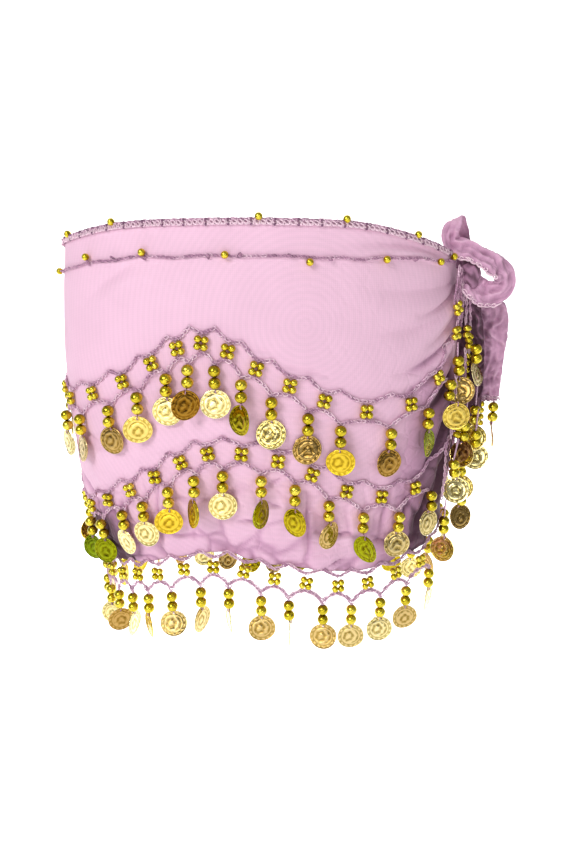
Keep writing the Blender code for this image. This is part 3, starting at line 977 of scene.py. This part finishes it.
def coin_axes(facing, roll, pitch):
    """Right, up and face directions of a coin that faces this way from the front."""
    heading, lean, tip = (math.radians(v) for v in (facing, roll, pitch))
    level = np.array((math.sin(heading), -math.cos(heading), 0.0))
    right = np.array((math.cos(heading), math.sin(heading), 0.0))
    face = level * math.cos(tip) + UP * math.sin(tip)
    up = np.cross(face, right)
    return np.stack([right * math.cos(lean) + up * math.sin(lean),
                     up * math.cos(lean) - right * math.sin(lean), face])


def hang_drop(kit, first, second, coin, facing, roll, tint, pitch=None):
    """Two beads and a coin at their places, threaded together."""
    line = unit(first - second)
    side = unit(np.cross(line, (0.3, -0.9, 0.2)))
    axes = np.stack([side, np.cross(line, side), line])
    for place in (first, second):
        kit["beads"].add(BEAD_SHAPE, place, axes, rng.uniform(0.25, 0.6))
    swung = rng.uniform(-11, 9)
    axes = coin_axes(facing, roll, swung if pitch is None else pitch)
    kit["coins"].add(rng.choice(COIN_SHAPES), coin, axes, tint)
    hole = coin + axes[1] * COIN_HOLE
    foot = second - line * BEAD * 0.8
    kit["yarn"].add(cord(foot + (hole - foot) * np.linspace(0, 1, 3)[:, None], THREAD, 5),
                    tint=0.15)
    turn = np.arange(9) * 2 * math.pi / 9
    eye = hole + axes[1] * 1.3
    ring = (eye + EYE[0] * np.cos(turn)[:, None] * axes[1]
            + EYE[1] * np.sin(turn)[:, None] * axes[2])
    kit["yarn"].add(cord(ring, EYE_THREAD, 4, closed=True), tint=0.3)


# Places under a round thing, in its radii: its middle and three rings out to its rim.
FOOTPRINT = np.array([(0.0, 0.0)] + [
    (ring * math.cos(math.pi * k / 6), ring * math.sin(math.pi * k / 6))
    for ring in (0.35, 0.7, 1.0) for k in range(12)])


def level_along(outward):
    """The level direction along the strip, from its outward direction."""
    return np.array((-outward[1], outward[0], 0.0))


def row_drop(kit, row, lap, facing, tint, turned_from, stand):
    """One hanging drop: straight down from its valley, but never into the cloth."""
    valley, outward = row_place(row, lap, VALLEY_DROP[row], CHAIN_LIFT + 0.6)
    swing = rng.uniform(-0.8, 0.8)
    coin_fall = FIRST_BEAD[row] + COIN_BELOW

    def under(fall, clear, radius):
        place = valley - UP * fall + level_along(outward) * swing * fall / coin_fall
        if row == HEM:
            return place
        base = on_cloth(lap + FOOTPRINT[:, 0] * radius, place[2] + FOOTPRINT[:, 1] * radius)
        gap = float(np.min((place - base) @ outward))
        return place + outward * (max(gap, clear) - gap)

    toward = math.degrees(math.atan2(outward[0], -outward[1]))
    heading = facing + turned_from * toward
    reach = COIN * abs(math.sin(math.radians(heading - toward)))
    first = under(FIRST_BEAD[row], BEAD + 0.5 + stand / 2, BEAD)
    second = under(FIRST_BEAD[row] + BEAD_STEP, BEAD + 0.6 + stand, BEAD)
    coin = under(coin_fall, reach + COIN_CLEAR + stand * 1.5, COIN)
    hang_drop(kit, first, second, coin, heading, swing * 3 + rng.uniform(-4, 4), tint)
    tie(kit["yarn"], (valley, first + unit(valley - first) * BEAD * 0.9), outward)


def coin_row(label, row, front):
    """A wavy row: crocheted net, bead flowers between the drops, and the drops."""
    kit = drop_kit()
    drops = row_drops(row, front)
    laps = [drop[0] for drop in drops]
    crochet_row(kit["yarn"], row, laps)
    for near, far in zip(laps, laps[1:]):
        lap = (near + far) / 2
        place, outward = row_place(row, lap, FLOWER_DROP, SMALL_BEAD + 0.5)
        slope = math.degrees(math.atan2(float(WAVE[row](far) - WAVE[row](near)), far - near))
        flower(kit["beads"], place, level_along(outward), outward,
               0.55 * slope + rng.uniform(-9, 9))
        for chain, edge in ((CHAIN_SAG - PEAK_RISE, FLOWER_DROP - 2 * SMALL_BEAD),
                            (ARCH_DROP, FLOWER_DROP + 2 * SMALL_BEAD)):
            ends = [row_place(row, lap, drop, CHAIN_LIFT)[0] for drop in (chain, edge)]
            tie(kit["yarn"], ends, outward, 0.5)
    for k, (lap, facing, tint) in enumerate(drops):
        is_front = any(lap == drop[0] for drop in front)
        close = min([abs(lap - other) for other in laps if other != lap])
        stand = STAND_OFF * (k % 2) if close < CROWDED else 0.0
        row_drop(kit, row, lap, facing, tint, 0.0 if is_front else 1.0, stand)
    nodes = (f"fringe_{label}_front", f"fringe_{label}_back")
    return kit_pieces(kit, f"coins_{label}_row", f"beads_{label}_row",
                      f"crochet_{label}_row", nodes)


# =========================== the body strip ===========================

def body_strip():
    """The chiffon strip from one side of the knot round to the other."""
    front = np.linspace(FRONT_FROM, FRONT_END, int((FRONT_END - FRONT_FROM) / FRONT_STEP))
    back = np.linspace(BACK_END - BACK_UNDER, FRONT_FROM,
                       int((FRONT_FROM - BACK_END) / BACK_STEP))
    laps = np.concatenate([back[:-1], front])
    shares = np.linspace(0, 1, CLOTH_ROWS + 1)
    top, hem = WAVE[TOP](laps), WAVE[HEM](laps)
    heights = top[:, None] + (hem - top)[:, None] * shares[None, :]
    grid_laps = np.repeat(laps[:, None], len(shares), 1)
    points = on_cloth(grid_laps, heights).reshape(-1, 3)
    cut = np.stack([grid_laps, heights], -1).reshape(-1, 2)
    # Painted shade: the cloth is coloured darker towards the hem, where less light falls, and in
    # its creases, crushed valleys and turned-away parts.
    shade_tint = (0.5 * shares[None, :] + cloth_relief(grid_laps, heights)[1]).reshape(-1)
    strip = mesh_piece("body_strip", points, grid_faces(*grid_laps.shape), CHIFFON,
                       ("wrap_front", "wrap_back"), {"tint": shade_tint}, cut)
    thicken(strip, CLOTH_THICK)
    return strip


def thicken(piece, thick):
    """Gives a sheet its cloth's thickness, to both sides of its middle."""
    shell = piece.modifiers.new("cloth_thickness", "SOLIDIFY")
    shell.thickness = thick * MM
    shell.offset = 0.0


def waist_braid():
    """Two lines of chain with slanted loops between them, bound at every fourth loop."""
    pile, beads = Pile(), Pile()
    top = WAVE[TOP](TRIM_LAPS)
    for rise, tint, wide in ((0.4, 0.32, 0.75), (-2.5, 0.9, 0.5)):
        height = top + rise
        path = on_cloth(TRIM_LAPS, np.minimum(height, top), CHAIN_LIFT)
        path[:, 2] = height
        crochet(pile, path, on_figure(TRIM_LAPS, height)[1], step=3.0, wide=wide, tint=tint)
    for k, lap in enumerate(np.arange(BACK_END + 8, TRIM_END + 4, 4.1)):
        _, out, along = on_figure(lap, WAVE[TOP](lap))
        middle = on_cloth(lap, WAVE[TOP](lap) - 1.1, CHAIN_LIFT + 0.6)
        slant = unit(along * 0.7 - UP * 0.6)
        axes = np.stack([slant * 0.85, np.cross(out, slant) * 1.05, out])
        pile.add(STITCH_SHAPE, middle, axes, 1.0 + rng.uniform(-0.16, 0.1))
        if k % 4 == 0:
            for rise in (0.6, -2.9):
                spot = on_cloth(lap, WAVE[TOP](lap) + min(rise, 0), CHAIN_LIFT + 0.9)
                spot[2] += max(rise, 0)
                knot_axes = np.stack([out, along, UP]) * 0.36
                pile.add(SMALL_BEAD_SHAPE, spot, knot_axes, 0.0)
    for lap in list(EDGE_BEADS) + list(np.arange(-238, BACK_END + 20, -BEAD_SPACING)):
        _, out, along = on_figure(lap, WAVE[TOP](lap))
        spot = on_cloth(lap, WAVE[TOP](lap), CHAIN_LIFT + 0.6) + UP * 2.2
        beads.add(SMALL_BEAD_SHAPE, spot, np.stack([out, UP, along]), 0.5)
    nodes = ("waist_braid_front", "waist_braid_back")
    yarn = pile.piece("waist_braid", YARN_FINISH, "crochet_yarn", nodes)
    return [yarn, beads.piece("waist_braid_beads", BEAD_FINISH, "gold_bead")]


def bead_line():
    """A single chain that wanders a little, with small loops standing off and beads."""
    pile, beads = Pile(), Pile()
    wander = np.array([1.6 * noise.noise(Vector((lap / 26, 3, 0))) for lap in TRIM_LAPS])
    height = line_height(TRIM_LAPS) + wander
    crochet(pile, on_cloth(TRIM_LAPS, height, CHAIN_LIFT), on_figure(TRIM_LAPS, height)[1],
            wide=0.72, tint=0.42)
    for lap in np.arange(BACK_END + 30, TRIM_END - 8, 33.0):
        lap += rng.uniform(-9, 9)
        _, out, along = on_figure(lap, line_height(lap))
        middle = on_cloth(lap, line_height(lap) + rng.uniform(-1.5, 1.5), CHAIN_LIFT + 1.4)
        stand = unit(out * 0.8 + UP * rng.uniform(-0.8, 0.8))
        axes = np.stack([stand * 0.8, along, np.cross(stand, along)])
        pile.add(STITCH_SHAPE, middle, axes, 0.2)
    behind = [(lap, line_height(lap)) for lap in np.arange(-204, BACK_END + 20, -BEAD_SPACING)]
    for lap, height in list(LINE_BEADS) + behind:
        _, out, along = on_figure(lap, height)
        spot = on_cloth(lap, height, SMALL_BEAD + 1.0)
        beads.add(SMALL_BEAD_SHAPE, spot, np.stack([out, UP, along]), 0.5)
    nodes = ("bead_line_front", "bead_line_back")
    yarn = pile.piece("bead_line", YARN_FINISH, "crochet_yarn", nodes)
    return [yarn, beads.piece("bead_line_beads", BEAD_FINISH, "gold_bead")]


# =========================== knot, bow, tail and bunch ===========================

def box_middle(name):
    """The middle of a node's box, in millimetres."""
    low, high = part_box(name)
    return np.array((low + high) / 2) / MM


KNOT = box_middle("knot")


def ribbon(name, stops, replaced, folds, depth, shade_tint, lean=0.0, slant=0.0, roll=None):
    """A gathered end of the strip, with sharp uneven folds along it, crushed across."""
    numbered = [(k, *stop) for k, stop in enumerate(stops)]
    fine = np.linspace(0, len(stops) - 1, 400)
    path = np.stack([smooth_table(numbered, k)(fine) for k in (1, 2, 3)], -1)
    reach = np.concatenate([[0], np.cumsum(np.linalg.norm(np.diff(path, axis=0), axis=1))])
    long = int(reach[-1] / RIBBON_STEP)
    steps = np.interp(np.linspace(0, reach[-1], long), reach, fine)
    columns = [smooth_table(numbered, k)(steps) for k in range(1, 8)]
    middles = KNOT + np.stack(columns[:3], -1)
    width = columns[3]
    across = unit(np.stack(columns[4:], -1))
    ahead = unit(np.gradient(middles, axis=0))
    across = unit(across - ahead * np.sum(across * ahead, -1, keepdims=True))
    face = np.cross(ahead, across)
    spread = np.linspace(-1, 1, RIBBON_ACROSS)
    length = np.linspace(0, 1, long)
    u, s = spread[None, :], length[:, None]
    run = length * reach[-1]
    sway = np.array([noise.noise(Vector((r / SWAY_RUN, shade_tint * 20, 0))) for r in run])[:, None]
    phase = 0
    for count, share, start in folds:
        fade = np.array([0.6 + noise.noise(Vector((r / FADE_RUN, start, shade_tint))) for r in run])
        turn = count * math.pi / 2 * (u + slant * s + 0.9 * sway) + start
        phase = phase + share * fade[:, None] * (1 - 2 * np.abs(np.sin(turn)))
    gather = np.clip(np.minimum(s, 1 - s) * 7, 0.4, 1) * (1 - lean * u)
    long_run, cross_run = CRUSH_RUN
    fine_long, fine_cross = FINE_CRUSH_RUN
    crush = np.array([[1 - 3 * abs(noise.noise(Vector((r / long_run, b * w / cross_run,
                                                       shade_tint * 9))))
                       + 0.5 * noise.noise(Vector((r / fine_long, b * w / fine_cross, 3)))
                       for b in spread] for r, w in zip(run, width)])
    rise = depth * (phase * gather + 0.6 * crush)
    shaded = 0.0
    if roll is not None:
        # Its folds flatten into a dome where it rolls over, and the layer behind is in shade.
        rolling = np.exp(-(((s - roll) / 0.08) ** 2))
        rise = rise * (1 - 0.8 * rolling) + ROLL_DOME * (1 - u**2) * rolling
        shaded = 0.2 * ease((roll - s) / 0.07)
    waver = np.array([noise.noise(Vector((r / RAGGED_RUN, 5, shade_tint))) for r in run])[:, None]
    ragged = 1 + 0.07 * waver
    points = (middles[:, None] + across[:, None] * (width[:, None] / 2 * ragged * u)[..., None]
              + face[:, None] * rise[..., None])
    cut = np.stack(np.broadcast_arrays(run[:, None], (width[:, None] * u)), -1)
    # Painted shade: the colour darkens in the folds' hollows, towards one edge by its lean, and on
    # the layer behind a roll.
    fold_shade_tints = shade_tint - 0.13 * rise / depth + 0.15 * lean * np.minimum(u, 0) ** 2 + shaded
    piece = mesh_piece(name, points.reshape(-1, 3), grid_faces(long, RIBBON_ACROSS), CHIFFON,
                       replaced, {"tint": fold_shade_tints.reshape(-1)}, cut.reshape(-1, 2))
    thicken(piece, RIBBON_THICK)
    return piece, points, face


def edge_chain(pile, points, face, side, start, end):
    """Crochet along one edge of a ribbon, between two shares of its length."""
    first, last = int(start * len(points)), int(end * len(points))
    crochet(pile, points[first:last, side], face[first:last], step=2.8, wide=1.1, tint=0.95)


def knot_lump():
    """The knot: the strip wrapped tightly over itself, its folds running round it."""
    turns, falls = 60, 44
    low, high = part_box("knot")
    half = np.array((high - low) / 2) / MM * (0.82, 0.82, 0.9)
    points, cut, fold_shade_tints = [], [], []
    for i in range(turns):
        turn = 2 * math.pi * i / turns
        for j in range(falls):
            fall = math.pi * (j + 0.5) / falls
            way = np.array((math.sin(fall) * math.cos(turn), math.sin(fall) * math.sin(turn),
                            math.cos(fall)))
            bend = way[2] + 0.35 * way[0] + 0.25 * noise.noise(Vector(way * 1.7))
            fold = math.sin(9 * bend)
            size = 0.93 + 0.07 * fold + 0.05 * noise.noise(Vector(way * 3.1))
            points.append(KNOT + half * way * size)
            cut.append((i * 1.2, j * 1.2))
            # Painted shade: the knot is coloured deep mauve as it sits in shade, darker in its
            # folds.
            fold_shade_tints.append(0.9 - 0.08 * fold)
    faces = grid_faces(turns, falls, joined=True)
    faces.append(tuple(i * falls for i in range(turns)))
    faces.append(tuple((i * falls + falls - 1) for i in range(turns))[::-1])
    return mesh_piece("knot_wrap", points, faces, CHIFFON, ("knot",),
                      {"tint": fold_shade_tints}, cut)


def bunch():
    """The rows' ends gathered under the knot: cords, flowers, drops and bead strings."""
    kit = drop_kit()

    def place(lap, height, out):
        """A place this far out from the smooth form, in front of the creases."""
        spot, outward, _ = on_figure(lap, height)
        return spot + outward * (WALL / 2 + np.asarray(out))[..., None]

    def hang_cord(ends, outs, steps, bow, **stitches):
        """A crocheted cord from its top to its foot, bowed sideways a little."""
        lap0, height0, lap1, height1 = ends
        share = np.linspace(0, 1, steps)
        laps = lap0 + (lap1 - lap0) * share
        path = place(laps + bow * np.sin(math.pi * share), height0 + (height1 - height0) * share,
                     outs[0] + (outs[1] - outs[0]) * share)
        crochet(kit["yarn"], path, on_figure(laps, height0)[1], **stitches)

    for (top_lap, top, bead_lap, bead, coin_lap, coin, out, facing, roll,
         tint) in BUNCH_DROPS:
        first = place(bead_lap, bead, max(out, BEAD + 1.5))
        reach = COIN * abs(math.sin(math.radians(facing - BUNCH_HIP)))
        disc = place(coin_lap, coin, max(out, 0.55 * reach + 2))
        hang = unit(disc - first)
        second = first + hang * BEAD_STEP
        hang_drop(kit, first, second, disc, facing, roll, tint, BUNCH_PITCH)
        top_place = place(top_lap, top, out)
        tie(kit["yarn"], (top_place, first - hang * BEAD * 0.9), np.array((0.8, -0.5, 0)))
    for lap, height, out, tilt in BUNCH_FLOWERS:
        _, outward, along = on_figure(lap, height)
        flower(kit["beads"], place(lap, height, out), along, outward, tilt)
    for *ends, out in BUNCH_CORDS:
        hang_cord(ends, (out, out), 8, 2.0, tint=0.55)
    for ends in KNOT_CORDS:
        hang_cord(ends, (7, 5), 10, 0.0, wide=0.8, tint=0.45)
    for lap, top, foot, out in BUNCH_STRING:
        for height in np.arange(top, foot, -2.05 * SMALL_BEAD):
            kit["beads"].add(SMALL_BEAD_SHAPE, place(lap + rng.uniform(-0.5, 0.5), height, out),
                             tint=rng.uniform(0.3, 0.6))
    return kit_pieces(kit, "coins_knot_bunch", "beads_knot_bunch", "crochet_knot_bunch",
                      ("fringe_knot_side",))


def tail_and_drops():
    """The hanging end with its crocheted foot, a string of small beads and a coin drop."""
    folds = ((2.4, 0.7, 0.4), (4.3, 0.4, 1.3))
    # Painted shade: the tail's base tint is deepened, and the fold behind it is a sheet painted in
    # the deepest shade, filling the dark gap beside the knot.
    tail, points, face = ribbon("tail_end", TAIL, ("tail",), folds, 2.4, 0.68, 0.6, 0.15)
    fold, _, _ = ribbon("tail_shade_fold", FOLD_BEHIND, ("tail",), folds, 2.6, 1.02)
    kit = drop_kit()
    foot = points[-1]
    for drop in (0, 2.4):
        crochet(kit["yarn"], foot - UP * drop, np.repeat(face[-1:], len(foot), 0),
                step=2.8, wide=0.9, tint=0.7 - 0.1 * drop)
    corner = foot[2] - UP * 2
    for k in range(4):
        kit["beads"].add(SMALL_BEAD_SHAPE, corner - UP * (4 + 5.6 * k), tint=0.45)
    hung = foot[-9] - UP * 3
    first = hung - UP * 6
    second = first - UP * BEAD_STEP
    hang_drop(kit, first, second, second - UP * (COIN_BELOW - BEAD_STEP), 78, 4, 0.95)
    outward = np.array((0.6, -0.8, 0))
    tie(kit["yarn"], (hung, first + UP * BEAD * 0.9), outward)
    tie(kit["yarn"], (corner + UP, corner - UP * 4), outward)
    return tail, fold, kit_pieces(kit, "coin_tail_drop", "beads_tail_drops",
                                  "crochet_tail_end", ("tail_drops",))


def bow():
    """The other end, folded over above the knot and looped beside it."""
    folds = ((1.6, 0.6, 0.5), (2.7, 0.45, 1.9))
    # Painted shade: the bow takes a deeper base tint.
    loops, points, face = ribbon("bow_loops", BOW, ("bow_loop_upper", "bow_loop_side"), folds,
                                 2.0, 0.66, 0.0, 0.8, roll=0.22)
    edge = Pile()
    edge_chain(edge, points, face, 0, 0.4, 0.66)
    edge_chain(edge, points, face, -1, 0.8, 0.96)
    return loops, edge.piece("crochet_bow_edge", YARN_FINISH, "crochet_yarn")


# =========================== studio ===========================

def backdrop():
    """A white paper sweep: floor, a wide curve and a wall behind."""
    half, front, back, floor, top, bend = 5.0, -4.0, 2.6, -1.0, 4.0, 1.2
    profile = [(front, floor)]
    for k in range(13):
        turn = math.pi / 2 * k / 12
        profile.append((back - bend + bend * math.sin(turn),
                        floor + bend - bend * math.cos(turn)))
    profile.append((back, top))
    points = [(x, y, z) for y, z in profile for x in (-half, half)]
    faces = [(2 * k, 2 * k + 1, 2 * k + 3, 2 * k + 2) for k in range(len(profile) - 1)]
    data = bpy.data.meshes.new("paper_sweep")
    data.from_pydata(points, [], faces)
    data.shade_smooth()
    data.materials.append(studio_paper())
    sweep = bpy.data.objects.new("paper_sweep", data)
    bpy.context.collection.objects.link(sweep)


def softbox(name, place, aim, size, power, beam=180):
    """A rectangular light; the beam is how widely it spreads, in degrees."""
    light = bpy.data.lights.new(name, "AREA")
    light.shape = "RECTANGLE"
    light.size, light.size_y = size
    light.energy = power
    light.spread = math.radians(beam)
    lamp = bpy.data.objects.new(name, light)
    lamp.location = place
    lamp.rotation_euler = (Vector(aim) - Vector(place)).to_track_quat("-Z", "Y").to_euler()
    bpy.context.collection.objects.link(lamp)


def studio():
    """White paper, six soft lights and the room's own pale light."""
    backdrop()
    softbox("key_left_above", (-1.3, -1.9, 1.2), (0, 0, -0.12), (0.9, 0.9), 33)
    softbox("fill_front", (0.9, -2.6, 0.3), (0, 0, -0.15), (1.4, 0.8), 9)
    softbox("glint_panel", (-0.5, -2.3, -0.6), (0, 0, -0.25), (1.6, 0.45), 6)
    softbox("back_soft", (0.6, 2.2, 1.0), (0, 0, -0.1), (1.2, 0.8), 2.5)
    softbox("wall_wash", (0, 1.1, 2.9), (0, 2.5, 0.6), (4.0, 0.6), 28, 80)
    softbox("floor_wash", (0, 1.7, 1.7), (0, 1.25, -1.0), (3.4, 0.8), 30, 70)
    world = bpy.data.worlds.new("studio_air")
    world.use_nodes = True
    tree = world.node_tree
    # The room is pale overhead and dim low down, as the metal shows.
    way = node(tree, "ShaderNodeTexCoord").outputs["Generated"]
    rise = node(tree, "ShaderNodeSeparateXYZ", inputs={"Vector": way}).outputs["Z"]
    strength = node(tree, "ShaderNodeMapRange",
                    inputs={"Value": rise, "From Min": -0.3, "From Max": 0.6,
                            "To Min": 0.14, "To Max": 0.4}).outputs[0]
    feed(tree, tree.nodes["Background"], {"Strength": strength, "Color": colour("#F4F2F0")})
    bpy.context.scene.world = world
    bpy.context.scene.view_settings.view_transform = "Standard"


def camera():
    """Level with the waist at arm's length and looking 16 degrees down at the front."""
    data = bpy.data.cameras.new("front_camera")
    data.lens = 30.83
    data.sensor_width = 36.0
    eye = bpy.data.objects.new("front_camera", data)
    eye.location = (0.018, -0.637, 0.0)
    eye.rotation_euler = (math.radians(90 - 16), 0, 0)
    bpy.context.collection.objects.link(eye)
    bpy.context.scene.camera = eye


# =========================== all of it ===========================

def build():
    """Everything: camera, studio, cloth, trims, knot, bow and tail."""
    camera()
    studio()
    strip = body_strip()
    trims = waist_braid() + bead_line()
    for label, row, front in (("upper", UPPER, UPPER_DROPS), ("middle", MIDDLE, MIDDLE_DROPS),
                              ("hem", HEM, HEM_DROPS)):
        trims += coin_row(label, row, front)
    trims += bunch()
    knot = knot_lump()
    loops, bow_edge = bow()
    tail, fold, tail_trims = tail_and_drops()


build()
